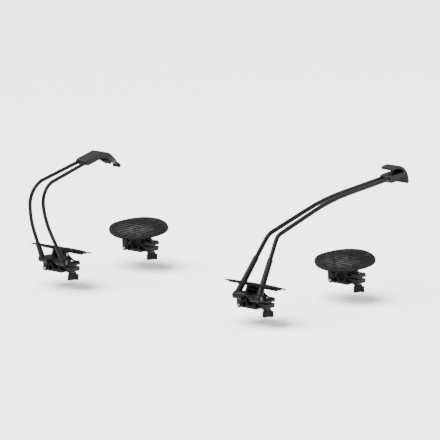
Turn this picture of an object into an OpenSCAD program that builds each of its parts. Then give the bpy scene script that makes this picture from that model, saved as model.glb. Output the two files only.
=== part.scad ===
// Kayak roof carrier: four clamp-on units for two round crossbars.
// Two arm units carry a saddle pad and a two-rod over-arm with a hook, two saddle units a pad alone.
// +X runs forward along the vehicle, +Y across it from the arm side to the saddle side, +Z up.
// The origin is the centre of the bar seat of the front arm unit.

/* [Set layout] */
// Distance between the front and rear crossbar axes
bar_spacing = 760; // [600:10:1000]
// Distance along the front bar from arm unit to saddle unit
front_reach = 425; // [380:5:560]
// Distance along the rear bar from arm unit to saddle unit
rear_reach = 365; // [330:5:480]

/* [Bar clamp] */
// Diameter of the round crossbar
bar_d = 28.6; // [25:0.1:32]
// Wall of the rubber bar liners
liner_wall = 2.5; // [1.5:0.1:3]
// How far the liner flange stands out past the liner
liner_flange = 2.2; // [1:0.1:2.6]
// Thickness of the liner flange
flange_t = 1.5; // [1:0.1:2]
// Width of the clamp along the bar
clamp_w = 40; // [34:1:48]
// Gap between the base and the jaw at the split
split_gap = 2; // [1:0.5:4]
// Height of the foot slab above the bar axis
foot_top = 12; // [9:0.5:15]
// Reach of the front foot from the bar axis
foot_front = 62; // [60:0.5:68]
// Reach of the rear foot from the bar axis
foot_rear = 53; // [52:0.5:58]
// Distance from the bar axis back to the jaw hinge
hinge_back = 44; // [43:0.5:48]
// Distance of the jaw hinge below the bar axis
hinge_drop = 19; // [14:0.5:20]
// Outer radius of the hinge knuckles
knuckle_r = 8; // [7:0.5:9]
// Width of each outer hinge knuckle
ear_w = 10; // [8:0.5:12]
// Radius of the hinge pin
hinge_pin_r = 2.5; // [2:0.1:3.5]
// Thickness of the jaw under the bar liner
jaw_floor = 8; // [6:0.5:12]

/* [Clamp screw] */
// Distance from the bar axis forward to the clamp bolt
bolt_x = 48; // [47:0.5:52]
// Shank radius of the clamp bolt
bolt_r = 3; // [2.5:0.1:4]
// Head radius of the clamp bolt
bolt_head_r = 7; // [6:0.5:8]
// Depth of the hexagon socket in the clamp bolt's head
bolt_key_depth = 2.5; // [1.5:0.5:3]
// Head height of the clamp bolt
bolt_head_h = 4; // [3:0.5:5]
// Length of the slot in the jaw for the bolt
bolt_slot = 12; // [10:0.5:14]
// Depth of the lug bottom below the bar axis
lug_drop = 20; // [18:0.5:24]
// Height of the jaw lug
lug_h = 16; // [12:0.5:17]
// Radius of the rounded underside of the lug
lug_round = 30; // [20:1:60]
// Radius of the clamp washer
washer_r = 8; // [7:0.5:10]
// Thickness of the clamp washer
washer_t = 1.6; // [1:0.1:2.5]
// Radius of the knob hub
knob_hub_r = 12.5; // [10:0.5:14]
// Reach of the knob wings from the bolt axis
knob_reach = 19; // [17:0.5:21]
// Radius of the wing tips
knob_tip_r = 5.5; // [4:0.5:6]
// Number of knob wings
knob_wings = 3; // [2:1:5]
// Height of the knob
knob_h = 22; // [18:1:26]

/* [Pad tilt] */
// Height of the tilt axis above the bar axis
tilt_z = 30; // [30:0.5:36]
// Half of the neck width
neck_half = 26; // [24:0.5:27]
// Thickness of each neck cheek
cheek_t = 7.5; // [6:0.5:9]
// Radius of the cheek tops
cheek_r = 9.5; // [8:0.5:10]
// Radius of the tilt pin
tilt_pin_r = 3; // [2.5:0.1:4]
// Radius of the tilt pin heads
tilt_head_r = 5; // [4:0.5:6]
// Lean of the arm units' pads towards the middle, at rest
arm_pad_lean = 15; // [5:1:18]
// Lean of the saddle units' pads towards the middle, at rest
saddle_pad_lean = 13; // [5:1:18]

/* [Saddle pad] */
// Length of the pad along the vehicle
pad_len = 210; // [190:2:230]
// Width of the pad across the vehicle
pad_w = 158; // [148:2:170]
// Thickness of the rubber in the middle
pad_t = 4.5; // [4:0.5:6]
// Thickness of the rubber at its two long edges
pad_edge_t = 7; // [6.5:0.5:9]
// Radius of the hollow in the pad's top
pad_dish_r = 1250; // [900:10:1600]
// Length of the tapered underside at each tip of the pad
tip_len = 34; // [20:1:40]
// How far the underside rises at the tips
tip_rise = 2; // [1:0.5:4.5]
// Distance between the grip grooves
groove_pitch = 12; // [10:0.5:16]
// Width of a grip groove
groove_w = 4; // [2:0.5:6]
// Depth of a grip groove
groove_d = 2; // [1:0.25:3]
// Width of the plain rim round the grooves
pad_rim = 11; // [8:0.5:16]
// Thickness of the carrier plate
plate_t = 3; // [2.5:0.5:4]
// How far the carrier plate stays inside the pad's edge
plate_inset = 14; // [8:0.5:16]
// Distance from the tilt axis to the carrier plate
plate_rise = 10.5; // [10.5:0.5:13]
// Height of the ribs under the carrier plate
rib_h = 5; // [4:0.5:6]
// Thickness of the ribs
rib_t = 3; // [2:0.5:4]
// Distance of the ribs from the middle
rib_y = 38; // [36:1:44]
// Length of the ribs
rib_len = 110; // [90:2:120]
// Width of the arm slots in the arm units' pads
slot_w = 36; // [34:0.5:37]
// How far the arm slots reach past the tilt axis
slot_end = 26; // [24:0.5:30]

/* [Over-arm] */
// Radius of the front arm's rods
front_rod_r = 6.5; // [6:0.25:6.75]
// Radius of the rear arm's rods
rear_rod_r = 5.5; // [4.5:0.25:6]
// Distance of the arm pivot outboard of the bar seat's centre
pivot_out = 33; // [32:0.5:36]
// Height of the arm pivot above the bar axis
pivot_z = 14; // [13:0.5:16]
// Half of the distance between the rods at the pivot
pivot_half = 42; // [41:0.5:43]
// Shank radius of the pivot bolts
pivot_bolt_r = 4; // [3:0.25:5]
// Outer radius of the socket eyes
eye_r = 11; // [10:0.5:12]
// Thickness of the socket eyes
eye_t = 20; // [18:0.5:21]
// How much wider than the rod a socket is at its foot
socket_foot_wall = 3.2; // [2.5:0.1:3.2]
// How much wider than the rod a socket is at its mouth
socket_mouth_wall = 1.8; // [1.5:0.1:2.5]
// Length of the front arm's sockets from the pivot
front_socket_len = 128; // [100:1:150]
// Length of the rear arm's sockets from the pivot
rear_socket_len = 56; // [50:1:80]
// Bend radius of the front arm
front_bend_r = 45; // [35:1:55]
// Bend radius of the gentle curve along the front arm
front_sweep_r = 900; // [600:10:1000]
// Reach of the front arm's rods across the vehicle
front_arm_reach = 676; // [600:2:720]
// Height of the front arm's rod ends
front_arm_top = 268; // [255:1:290]
// Bend radius of the rear arm's upper bend
rear_bend_r = 65; // [50:1:70]
// Bend radius of the gentle curve above the rear arm's sockets
rear_sweep_r = 240; // [180:10:260]
// Reach of the rear arm's rods across the vehicle
rear_arm_reach = 160; // [140:1:200]
// Height of the rear arm's rod ends
rear_arm_top = 305; // [295:1:320]
// Half of the distance between the rods in the hook
hook_half = 11.5; // [11:0.5:13]
// Width of the hook along the vehicle
hook_w = 42; // [40:1:50]
// Thickness of the hook round the rods
hook_t = 18; // [16:0.5:20]
// Length of rod that the hook grips
hook_grip = 56; // [40:1:70]
// Radius of the front arm's claw
claw_r = 54; // [50:1:58]
// Angle that the front arm's claw covers
claw_span = 109; // [100:1:112]
// Thickness of the front arm's claw
claw_t = 9; // [6:0.5:11]
// Bend radius of the rear arm's hook nose
nose_bend_r = 60; // [50:1:80]
// Angle that the rear arm's hook nose turns down
nose_turn = 45; // [40:1:48]
// Length of the rear arm's hook nose past its bend
nose_len = 67; // [60:1:85]
// Width of the rear arm's hook nose at its tip
nose_tip_w = 24; // [22:1:30]
// Width of the waist behind the nose's tip, where a strap lies
nose_waist_w = 17; // [15:1:20]
// Thickness of the rubber lining under the hook
lining_t = 5; // [3:0.5:7]

/* [Fits] */
// Radial clearance of a pin or bolt held in its housing
held_fit = 0.03; // [0.01:0.01:0.05]
// Radial clearance of a hinge bore on its pin
running_fit = 0.06; // [0.02:0.01:0.1]
// Side clearance between parts that move past each other
side_fit = 0.3; // [0.2:0.05:0.5]

/* [Hidden] */
UNITS = ["front_arm", "rear_arm", "front_saddle", "rear_saddle"];
CLAMP_PIECES = ["base", "liner_top", "jaw", "liner_bottom", "jaw_pin", "clamp_bolt", "washer", "knob",
    "tilt_pin", "pad_carrier", "pad"];
ARM_PIECES = ["rod_front", "rod_rear", "socket_front", "socket_rear", "pivot_bolts", "hook", "hook_lining"];
ARMS = ["front_arm", "rear_arm"];

$fn = 48;
eps = 0.01;
rod_sides = 16;
bend_step = 7;
dish_steps = 8;
moulding_colour = [0.07, 0.07, 0.075];
rubber_colour = [0.2, 0.2, 0.21];
rod_colour = [0.1, 0.1, 0.1];
steel_colour = [0.62, 0.63, 0.65];

bar_r = bar_d / 2;
liner_r = bar_r + liner_wall;
housing_r = liner_r + held_fit;
flange_r = liner_r + liner_flange;
tunnel_r = flange_r + side_fit;
foot_fillet = 14;
jaw_w = clamp_w - 4;
knuckle_w = clamp_w - 2 * ear_w - 2 * side_fit;
hinge = [-hinge_back, -hinge_drop];
jaw_start = -hinge_back + knuckle_r + 3;
lug_half = 14;
edge_cut = 4;
pin_head_t = 1.5;
pin_head_rim = 1.5;
pivot_head_rim = 3.5;
pivot_head_t = 4;
claw_centre = [-36, -24];
lip_r = 5.5;
lining_inset = 3;
washer_top = -lug_drop - side_fit;
knob_top = washer_top - washer_t;
bolt_end = knob_top - knob_h + 4;
cheek_in = neck_half - cheek_t;
lug_x = cheek_in - side_fit;
lug_r = cheek_r - 0.5;
slot_floor = tilt_z - cheek_r - 0.5;
tilt_head_h = 2;
slot_in = pivot_half - slot_w / 2 - 5;
block_half = pivot_half - eye_t / 2 - 2;
eye_in = block_half + side_fit;
eye_out = eye_in + eye_t;
pivot_r = eye_r + 1;
bolt_grip = 12;
socket_start = 9;
rod_start = 13;
pivot = [pivot_half, -pivot_out, pivot_z];

function is_arm(u) = u == "front_arm" || u == "rear_arm";
function is_front(u) = u == "front_arm" || u == "front_saddle";
function unit_x(u) = is_front(u) ? 0 : -bar_spacing;
function unit_y(u) = is_arm(u) ? 0 : is_front(u) ? front_reach : rear_reach;
function pad_lean(u) = is_arm(u) ? -arm_pad_lean : saddle_pad_lean;
function unit_vector(v) = v / norm(v);
function lens(a, b, steps = 60) = [for (i = [0:steps - 1])
    let (t = 360 * i / steps) [a * cos(t), b * sign(sin(t)) * pow(abs(sin(t)), 1.2)]];

// Rise of the pad's hollow top at a distance from its middle line.
function dish_rise(y) = pad_dish_r - sqrt(pow(pad_dish_r, 2) - pow(y, 2));

// Outline of the hollow curve between the neck and the foot slab, on side s.
function cove(s) = concat([[s * (neck_half - 1), foot_top - 1]],
    [for (i = [0:6]) let (a = 180 + 15 * i)
        [s * (neck_half + foot_fillet * (1 + cos(a))), foot_top + foot_fillet * (1 + sin(a))]],
    [[s * (neck_half + foot_fillet), foot_top - 1]]);

// Corner points of a rod, from the pivot to its end in the hook, and the bend radius at each corner.
function arm_points(u) = is_front(u)
    ? [pivot, [17, 84, 180], [hook_half + 1, 336, 245], [hook_half, front_arm_reach, front_arm_top]]
    : [pivot, [31, -98, 142], [22, -115, 250], [hook_half, rear_arm_reach, rear_arm_top]];
function arm_bends(u) = is_front(u) ? [0, front_bend_r, front_sweep_r, 0] : [0, rear_sweep_r, rear_bend_r, 0];
function rod_r(u) = is_front(u) ? front_rod_r : rear_rod_r;
function socket_len(u) = is_front(u) ? front_socket_len : rear_socket_len;
function arm_start_direction(u) = unit_vector(arm_points(u)[1] - arm_points(u)[0]);
function arm_end(u) = let (p = arm_points(u)) p[len(p) - 1];
function arm_end_direction(u) = let (p = arm_points(u)) unit_vector(p[len(p) - 1] - p[len(p) - 2]);

module place(u) {
    translate([unit_x(u), unit_y(u), 0]) children();
}

module along_y(length, y = 0) {
    translate([0, y, 0]) rotate([90, 0, 0]) linear_extrude(height = length, center = true) children();
}

module along_x(length, x = 0) {
    translate([x, 0, 0]) rotate([90, 0, 90]) linear_extrude(height = length, center = true) children();
}

module rod_along_y(r, length, x = 0, z = 0) {
    translate([x, 0, z]) rotate([90, 0, 0]) cylinder(r = r, h = length, center = true);
}

module rod_along_x(r, x0, x1) {
    translate([x0, 0, 0]) rotate([0, 90, 0]) cylinder(r = r, h = x1 - x0);
}

module tilted(u) {
    translate([0, 0, tilt_z]) rotate([pad_lean(u), 0, 0]) children();
}

module at_pivot() {
    translate([0, -pivot_out, pivot_z]) children();
}

// Turns a shape that stands along +Z so that it lies along v.
module aim(v) {
    rotate([0, acos(v[2] / norm(v)), atan2(v[1], v[0])]) children();
}

// Stations along a bent path: each is [centre, direction], with extra ones round each bend.
function path_stations(points, bends) = let (
    last = len(points) - 1,
    dirs = [for (i = [0:last - 1]) unit_vector(points[i + 1] - points[i])])
    concat([[points[0], dirs[0]]],
        [for (i = [1:last - 1]) let (
            d = dirs[i - 1],
            e = dirs[i],
            turn = acos(d * e),
            n = unit_vector(e - (e * d) * d),
            start = points[i] - bends[i] * tan(turn / 2) * d,
            o = start + bends[i] * n,
            steps = max(2, ceil(turn / bend_step)))
            for (j = [0:steps]) let (t = turn * j / steps)
                [o + bends[i] * (sin(t) * d - cos(t) * n), cos(t) * d + sin(t) * n]],
        [[points[last], dirs[last - 1]]]);

// A round rod bent at the corners of a path.
module bent_rod(points, bends, r) {
    stations = path_stations(points, bends);
    rings = len(stations);
    shell = [for (q = stations) let (v = unit_vector(cross(q[1], [1, 0, 0])), u = cross(v, q[1]))
        for (k = [0:rod_sides - 1]) let (a = 360 * k / rod_sides) q[0] + r * (cos(a) * u + sin(a) * v)];
    walls = [for (i = [0:rings - 2]) for (k = [0:rod_sides - 1]) let (
        a = i * rod_sides + k, b = i * rod_sides + (k + 1) % rod_sides) each
        [[a, b, b + rod_sides], [a, b + rod_sides, a + rod_sides]]];
    first = [for (k = [rod_sides - 1:-1:0]) k];
    final = [for (k = [0:rod_sides - 1]) (rings - 1) * rod_sides + k];
    polyhedron(points = shell, faces = concat([first], walls, [final]));
}

// A flat ring between two radii and two angles, with round ends.
module ring_sector(r, thickness, a0, a1) {
    steps = ceil((a1 - a0) / 6);
    angles = [for (i = [0:steps]) a0 + (a1 - a0) * i / steps];
    polygon(concat([for (a = angles) (r + thickness / 2) * [cos(a), sin(a)]],
        [for (i = [steps:-1:0]) (r - thickness / 2) * [cos(angles[i]), sin(angles[i])]]));
    for (a = [a0, a1]) translate(r * [cos(a), sin(a)]) circle(r = thickness / 2);
}

// Side view of the base above the split: foot slab, neck and the coves between them.
module base_profile() {
    translate([-neck_half, split_gap / 2]) square([2 * neck_half, tilt_z + cheek_r]);
    polygon([[-foot_rear, split_gap / 2], [foot_front, split_gap / 2], [foot_front, foot_top - edge_cut],
        [foot_front - edge_cut, foot_top], [edge_cut - foot_rear, foot_top], [-foot_rear, foot_top - edge_cut]]);
    for (s = [-1, 1]) polygon(cove(s));
}

// End view of the base: full width at the foot, drawn in to round cheek tops.
module base_end_profile() {
    translate([0, tilt_z]) circle(r = cheek_r);
    polygon([[-clamp_w / 2, split_gap / 2], [clamp_w / 2, split_gap / 2], [clamp_w / 2, foot_top + edge_cut],
        [cheek_r, tilt_z], [-cheek_r, tilt_z], [-clamp_w / 2, foot_top + edge_cut]]);
}

module hinge_leg_profile() {
    translate(hinge) circle(r = knuckle_r);
    polygon([[-foot_rear, split_gap / 2 + 3], [hinge[0] - knuckle_r, hinge[1]],
        [hinge[0] + knuckle_r, hinge[1]], [hinge[0] + knuckle_r + 2, split_gap / 2 + 3]]);
}

module pivot_block() {
    along_x(2 * block_half) {
        translate([-pivot_out, pivot_z]) circle(r = pivot_r);
        translate([-pivot_out, pivot_z - pivot_r]) square([pivot_out - clamp_w / 2 + 6, 2 * pivot_r]);
    }
}

module base(u) {
    color(moulding_colour) place(u) difference() {
        union() {
            intersection() {
                along_y(clamp_w) base_profile();
                along_x(2 * foot_front) base_end_profile();
            }
            for (s = [-1, 1]) along_y(ear_w, s * (clamp_w - ear_w) / 2) hinge_leg_profile();
            if (is_arm(u)) pivot_block();
        }
        rod_along_y(housing_r, clamp_w + 2 * eps);
        // Room for the liner flange, and for the bar past the liner
        translate([0, -clamp_w / 2, 0]) rotate([90, 0, 0]) cylinder(r = tunnel_r, h = 2 * pivot_out);
        // Slot between the cheeks for the pad carrier's lug
        translate([-cheek_in, -clamp_w / 2 - eps, slot_floor])
            cube([2 * cheek_in, clamp_w + 2 * eps, tilt_z]);
        translate([0, 0, tilt_z]) rod_along_x(tilt_pin_r + held_fit, -neck_half - eps, neck_half + eps);
        rod_along_y(hinge_pin_r + held_fit, clamp_w + 2 * eps, hinge[0], hinge[1]);
        translate([bolt_x, 0, 0]) cylinder(r = bolt_r + held_fit, h = foot_top + eps);
        base_pockets();
        if (is_arm(u)) at_pivot() for (s = [-1, 1]) {
            rod_along_x(pivot_bolt_r + held_fit, s > 0 ? block_half - bolt_grip : -block_half - eps,
                s > 0 ? block_half + eps : bolt_grip - block_half);
        }
    }
}

// Hollows that a moulded foot has on both faces, leaving a web and an edge rib.
module base_pockets() {
    depth = 7;
    for (s = [-1, 1]) for (m = [-1, 1]) along_y(2 * depth, s * clamp_w / 2)
        polygon([[m * (housing_r + 5), split_gap / 2 + 3], [m * (bolt_x - 8.5), split_gap / 2 + 3],
            [m * (bolt_x - 8.5), foot_top - 3], [m * (housing_r + 7), foot_top + 7]]);
}

module half_liner(u, s) {
    color(rubber_colour) place(u) difference() {
        union() {
            rod_along_y(liner_r, clamp_w + 2 * eps);
            for (m = [-1, 1]) translate([0, m * (clamp_w + flange_t) / 2, 0]) rod_along_y(flange_r, flange_t);
        }
        rod_along_y(bar_r, clamp_w + 2 * flange_t + 2);
        translate([-2 * flange_r, -clamp_w, s > 0 ? split_gap / 2 - 4 * flange_r : -split_gap / 2])
            cube([4 * flange_r, 2 * clamp_w, 4 * flange_r]);
    }
}

module liner_top(u) {
    half_liner(u, 1);
}

module liner_bottom(u) {
    half_liner(u, -1);
}

// Side view of the jaw's wide part: the bar cradle and the front lug.
module jaw_profile() {
    floor_z = -housing_r - jaw_floor;
    top_z = -split_gap / 2;
    lug_top = lug_h - lug_drop;
    intersection() {
        polygon([[jaw_start, top_z - 3], [-housing_r - 6, top_z], [housing_r + 6, top_z],
            [housing_r + 12, lug_top], [bolt_x + lug_half, lug_top], [bolt_x + lug_half, -lug_drop],
            [housing_r + 14, -lug_drop], [housing_r + 4, floor_z], [-housing_r - 4, floor_z],
            [jaw_start, hinge[1] - knuckle_r + 1]]);
        union() {
            translate([-2 * foot_rear, 1.5 * floor_z]) square([2 * foot_rear + bolt_x - lug_half, 2 * foot_rear]);
            translate([bolt_x, lug_round - lug_drop]) circle(r = lug_round, $fn = 96);
        }
    }
}

module jaw(u) {
    color(moulding_colour) place(u) difference() {
        union() {
            along_y(jaw_w) jaw_profile();
            along_y(knuckle_w) {
                translate(hinge) circle(r = knuckle_r);
                polygon([[hinge[0], hinge[1] + knuckle_r], [jaw_start + eps, -split_gap / 2 - 3],
                    [jaw_start + eps, hinge[1] - knuckle_r + 1], [hinge[0], hinge[1] - knuckle_r]]);
            }
        }
        rod_along_y(housing_r, clamp_w);
        rod_along_y(hinge_pin_r + running_fit, clamp_w, hinge[0], hinge[1]);
        // Slot that lets the lug swing down past the bolt
        for (s = [-1, 1]) translate([bolt_x + s * (bolt_slot / 2 - bolt_r - 1), 0, -lug_drop - 1])
            cylinder(r = bolt_r + 1, h = lug_h + 4);
        translate([bolt_x, 0, -lug_drop + lug_h / 2]) cube([bolt_slot - 2 * bolt_r - 2, 2 * bolt_r + 2, lug_h + 4],
            center = true);
        jaw_pockets();
    }
}

module jaw_pockets() {
    depth = 8;
    for (s = [-1, 1]) along_y(2 * depth, s * jaw_w / 2) {
        polygon([[housing_r + 3, -split_gap / 2 - 4], [bolt_x - 9, lug_h - lug_drop - 3],
            [bolt_x - 9, 3.5 - lug_drop], [housing_r - 1, -housing_r]]);
        polygon([[-housing_r - 3, -split_gap / 2 - 4], [jaw_start + 3, -split_gap / 2 - 6],
            [jaw_start + 3, hinge[1] - knuckle_r + 5], [1 - housing_r, -housing_r]]);
    }
}

module jaw_pin(u) {
    color(steel_colour) place(u) {
        rod_along_y(hinge_pin_r, clamp_w + 2 * eps, hinge[0], hinge[1]);
        for (s = [-1, 1]) translate([0, s * (clamp_w + pin_head_t) / 2, 0])
            rod_along_y(hinge_pin_r + pin_head_rim, pin_head_t, hinge[0], hinge[1]);
    }
}

module clamp_bolt(u) {
    color(steel_colour) place(u) translate([bolt_x, 0, 0]) {
        translate([0, 0, bolt_end]) cylinder(r = bolt_r, h = foot_top - bolt_end + eps);
        translate([0, 0, foot_top]) difference() {
            rotate_extrude() polygon([[0, 0], [bolt_head_r, 0], [bolt_head_r, bolt_head_h / 3],
                [bolt_head_r * 0.65, bolt_head_h], [0, bolt_head_h]]);
            translate([0, 0, bolt_head_h - bolt_key_depth]) cylinder(r = bolt_head_r / 2, h = bolt_head_h, $fn = 6);
        }
    }
}

module washer(u) {
    color(steel_colour) place(u) translate([bolt_x, 0, knob_top]) difference() {
        cylinder(r = washer_r, h = washer_t);
        translate([0, 0, -1]) cylinder(r = bolt_r + running_fit, h = washer_t + 2);
    }
}

module knob(u) {
    wing_r = knob_reach - knob_tip_r;
    color(moulding_colour) place(u) translate([bolt_x, 0, knob_top - knob_h]) difference() {
        union() {
            rotate_extrude() polygon([[0, 0], [knob_hub_r - 3, 0], [knob_hub_r, knob_h - 8],
                [knob_hub_r, knob_h], [0, knob_h]]);
            for (i = [0:knob_wings - 1]) rotate(i * 360 / knob_wings + 30) {
                translate([wing_r, 0, 0]) cylinder(r = knob_tip_r, h = knob_h - 5);
                translate([0, -knob_tip_r + 1, 0]) cube([wing_r, 2 * knob_tip_r - 2, knob_h - 5]);
            }
        }
        translate([0, 0, 3]) cylinder(r = bolt_r + running_fit, h = knob_h);
    }
}

module tilt_pin(u) {
    color(steel_colour) place(u) translate([0, 0, tilt_z]) {
        rod_along_x(tilt_pin_r, -neck_half - eps, neck_half + eps);
        rod_along_x(tilt_head_r, neck_half, neck_half + tilt_head_h);
        rod_along_x(tilt_head_r, -neck_half - tilt_head_h, -neck_half);
    }
}

// Openings in an arm unit's pad that the two rods pass through, open at the outboard edge.
module arm_slots(grow = 0) {
    for (s = [-1, 1]) translate([s * (slot_in + slot_w / 2), 0]) {
        translate([0, slot_end - slot_w / 2]) circle(r = slot_w / 2 + grow);
        translate([-slot_w / 2 - grow, -pad_w]) square([slot_w + 2 * grow, pad_w + slot_end - slot_w / 2]);
    }
}

module pad_outline(u, inset) {
    difference() {
        polygon(lens(pad_len / 2 - inset, pad_w / 2 - inset));
        if (is_arm(u)) arm_slots(inset / 8);
    }
}

module pad_carrier(u) {
    color(moulding_colour) place(u) tilted(u) difference() {
        union() {
            translate([0, 0, plate_rise]) linear_extrude(height = plate_t) pad_outline(u, plate_inset);
            along_x(2 * lug_x) {
                circle(r = lug_r);
                polygon([[-lug_r, 0], [lug_r, 0], [lug_r + 13, plate_rise + eps], [-lug_r - 13, plate_rise + eps]]);
            }
            for (s = is_arm(u) ? [1] : [-1, 1])
                translate([-rib_len / 2, s * rib_y - rib_t / 2, plate_rise - rib_h])
                    cube([rib_len, rib_t, rib_h + eps]);
        }
        rod_along_x(tilt_pin_r + running_fit, -neck_half, neck_half);
    }
}

module pad(u) {
    foot = plate_rise + plate_t;
    color(rubber_colour) place(u) tilted(u) difference() {
        translate([0, 0, foot]) linear_extrude(height = pad_edge_t) pad_outline(u, 0);
        along_x(2 * pad_len) polygon(concat(
            [for (i = [-dish_steps:dish_steps]) let (y = i * (pad_w / 2 + 1) / dish_steps)
                [y, foot + pad_t + dish_rise(y)]],
            [[pad_w / 2 + 1, foot + 3 * pad_edge_t], [-pad_w / 2 - 1, foot + 3 * pad_edge_t]]));
        pad_grooves(u, foot);
        for (s = [-1, 1]) along_y(pad_w) polygon([[s * (pad_len / 2 - tip_len), foot],
            [s * (pad_len / 2 + eps), foot + tip_rise], [s * (pad_len / 2 + eps), foot - 1],
            [s * (pad_len / 2 - tip_len), foot - 1]]);
    }
}

// Grip grooves along the pad, each cut to the same depth below the hollow top.
module pad_grooves(u, foot) {
    rows = floor((pad_w / 2 - pad_rim) / groove_pitch);
    intersection() {
        translate([0, 0, foot]) linear_extrude(height = 3 * pad_edge_t) pad_outline(u, pad_rim);
        for (i = [-rows:rows]) {
            y = i * groove_pitch;
            translate([-pad_len, y - groove_w / 2, foot + pad_t + dish_rise(y) - groove_d])
                cube([2 * pad_len, groove_w, 2 * pad_edge_t]);
        }
    }
}

module mirror_if(flip) {
    if (flip) mirror([1, 0, 0]) children();
    else children();
}

module rod(u, s) {
    p = arm_points(u);
    start = p[0] + rod_start * arm_start_direction(u);
    path = concat([start], [for (i = [1:len(p) - 1]) p[i]]);
    color(rod_colour) place(u) mirror_if(s < 0) bent_rod(path, arm_bends(u), rod_r(u));
}

module socket(u, s) {
    d = arm_start_direction(u);
    color(moulding_colour) place(u) mirror_if(s < 0) difference() {
        union() {
            at_pivot() rod_along_x(eye_r, eye_in, eye_out);
            translate(pivot + socket_start * d) aim(d) cylinder(r1 = rod_r(u) + socket_foot_wall,
                r2 = rod_r(u) + socket_mouth_wall, h = socket_len(u) - socket_start);
        }
        at_pivot() rod_along_x(pivot_bolt_r + running_fit, eye_in - 1, eye_out + 1);
        translate(pivot + (rod_start - 0.2) * d) aim(d) cylinder(r = rod_r(u) + held_fit, h = socket_len(u));
    }
}

module pivot_bolts(u) {
    color(steel_colour) place(u) at_pivot() for (s = [-1, 1]) mirror_if(s < 0) {
        rod_along_x(pivot_bolt_r, block_half - bolt_grip + side_fit, eye_out + side_fit + eps);
        translate([eye_out + side_fit, 0, 0]) rotate([0, 90, 0]) cylinder(r = pivot_bolt_r + pivot_head_rim,
            h = pivot_head_t, $fn = 6);
    }
}

// Hook profiles are drawn along the rods, measured from the rods' ends.
module hook_barrel_profile() {
    translate([-hook_grip, -hook_t / 2]) square([hook_grip + 14, hook_t]);
    translate([-hook_grip, 0]) circle(r = hook_t / 2);
}

// A claw: its back stands up behind the rods' ends, and its lip comes down over the far edge.
module front_hook_profile() {
    hook_barrel_profile();
    translate(claw_centre) ring_sector(claw_r, claw_t, -3, claw_span - 3);
}

// A nose that turns down past the rods' ends and narrows to a lip.
module rear_hook_profile() {
    hook_barrel_profile();
    translate([0, -nose_bend_r]) ring_sector(nose_bend_r, hook_t, 90 - nose_turn, 90);
    nose_frame() {
        polygon([[-1, -hook_t / 2], [nose_len * 0.4, -hook_t / 2], [nose_len * 0.5, 0], [nose_len, -1],
            [nose_len, 5], [nose_len * 0.55, hook_t / 2], [-1, hook_t / 2]]);
        translate([nose_len, 5 - lip_r]) circle(r = lip_r);
    }
}

module nose_frame() {
    translate([nose_bend_r * sin(nose_turn), nose_bend_r * (cos(nose_turn) - 1)]) rotate(-nose_turn) children();
}

// What the nose loses on both sides, seen square to its top: a taper, then a waist behind the tip.
module nose_trim(u, inset = 0) {
    d = arm_end_direction(u);
    side = hook_w / 2 - inset;
    at_arm_end(u) rotate([atan2(d[2], d[1]), 0, 0])
        translate([0, nose_bend_r * sin(nose_turn), nose_bend_r * (cos(nose_turn) - 1)])
        rotate([-nose_turn, 0, 0]) linear_extrude(height = 4 * hook_t, center = true)
        for (s = [-1, 1]) polygon([[s * (side + 6), -4], [s * (side + 1), -4],
            [s * (nose_tip_w / 2 - inset), nose_len * 0.6], [s * nose_waist_w / 2, nose_len * 0.72],
            [s * nose_waist_w / 2, nose_len * 0.84], [s * nose_tip_w / 2, nose_len * 0.94],
            [s * nose_tip_w / 2, nose_len * 1.2], [s * (side + 6), nose_len * 1.2]]);
}

module at_arm_end(u) {
    translate([0, arm_end(u)[1], arm_end(u)[2]]) children();
}

module at_rod_ends(u, width) {
    d = arm_end_direction(u);
    at_arm_end(u) along_x(width) rotate(atan2(d[2], d[1])) children();
}

module hook(u) {
    end = arm_end(u);
    d = arm_end_direction(u);
    bore = hook_grip + hook_t;
    color(moulding_colour) place(u) difference() {
        at_rod_ends(u, hook_w) if (is_front(u)) front_hook_profile(); else rear_hook_profile();
        for (s = [-1, 1]) mirror_if(s < 0) translate(end - bore * d) aim(d)
            cylinder(r = rod_r(u) + held_fit, h = bore + side_fit);
        if (!is_front(u)) nose_trim(u);
    }
}

module hook_lining(u) {
    color(rubber_colour) place(u) difference() {
        at_rod_ends(u, hook_w - 2 * lining_inset)
            if (is_front(u)) translate([-hook_grip, -hook_t / 2 - lining_t]) square([hook_grip + 10, lining_t]);
            else nose_frame() translate([0, -hook_t / 2 - lining_t]) square([nose_len * 0.4, lining_t]);
        if (!is_front(u)) nose_trim(u, lining_inset);
    }
}

module clamp_piece(u, p) {
    if (p == "base") base(u);
    if (p == "liner_top") liner_top(u);
    if (p == "jaw") jaw(u);
    if (p == "liner_bottom") liner_bottom(u);
    if (p == "jaw_pin") jaw_pin(u);
    if (p == "clamp_bolt") clamp_bolt(u);
    if (p == "washer") washer(u);
    if (p == "knob") knob(u);
    if (p == "tilt_pin") tilt_pin(u);
    if (p == "pad_carrier") pad_carrier(u);
    if (p == "pad") pad(u);
}

module arm_piece(u, p) {
    if (p == "rod_front") rod(u, 1);
    if (p == "rod_rear") rod(u, -1);
    if (p == "socket_front") socket(u, 1);
    if (p == "socket_rear") socket(u, -1);
    if (p == "pivot_bolts") pivot_bolts(u);
    if (p == "hook") hook(u);
    if (p == "hook_lining") hook_lining(u);
}

for (u = UNITS) for (p = CLAMP_PIECES) {
    clamp_piece(u, p);
}
for (u = ARMS) for (p = ARM_PIECES) {
    arm_piece(u, p);
}
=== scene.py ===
"""Dresses a set of roof carriers: two clamp-on arm units and two clamp-on saddle units.

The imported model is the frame. Mouldings, linings and fasteners are worked up from copies of its solids,
while the pads and the bent rods are modelled here. Every finish is a node material. Lengths are in metres.
"""

import logging
import math
from contextlib import contextmanager
from dataclasses import dataclass
from enum import Enum
from typing import Any, Callable, Iterator, Sequence

import bmesh
import bpy
from mathutils import Matrix, Vector


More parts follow.
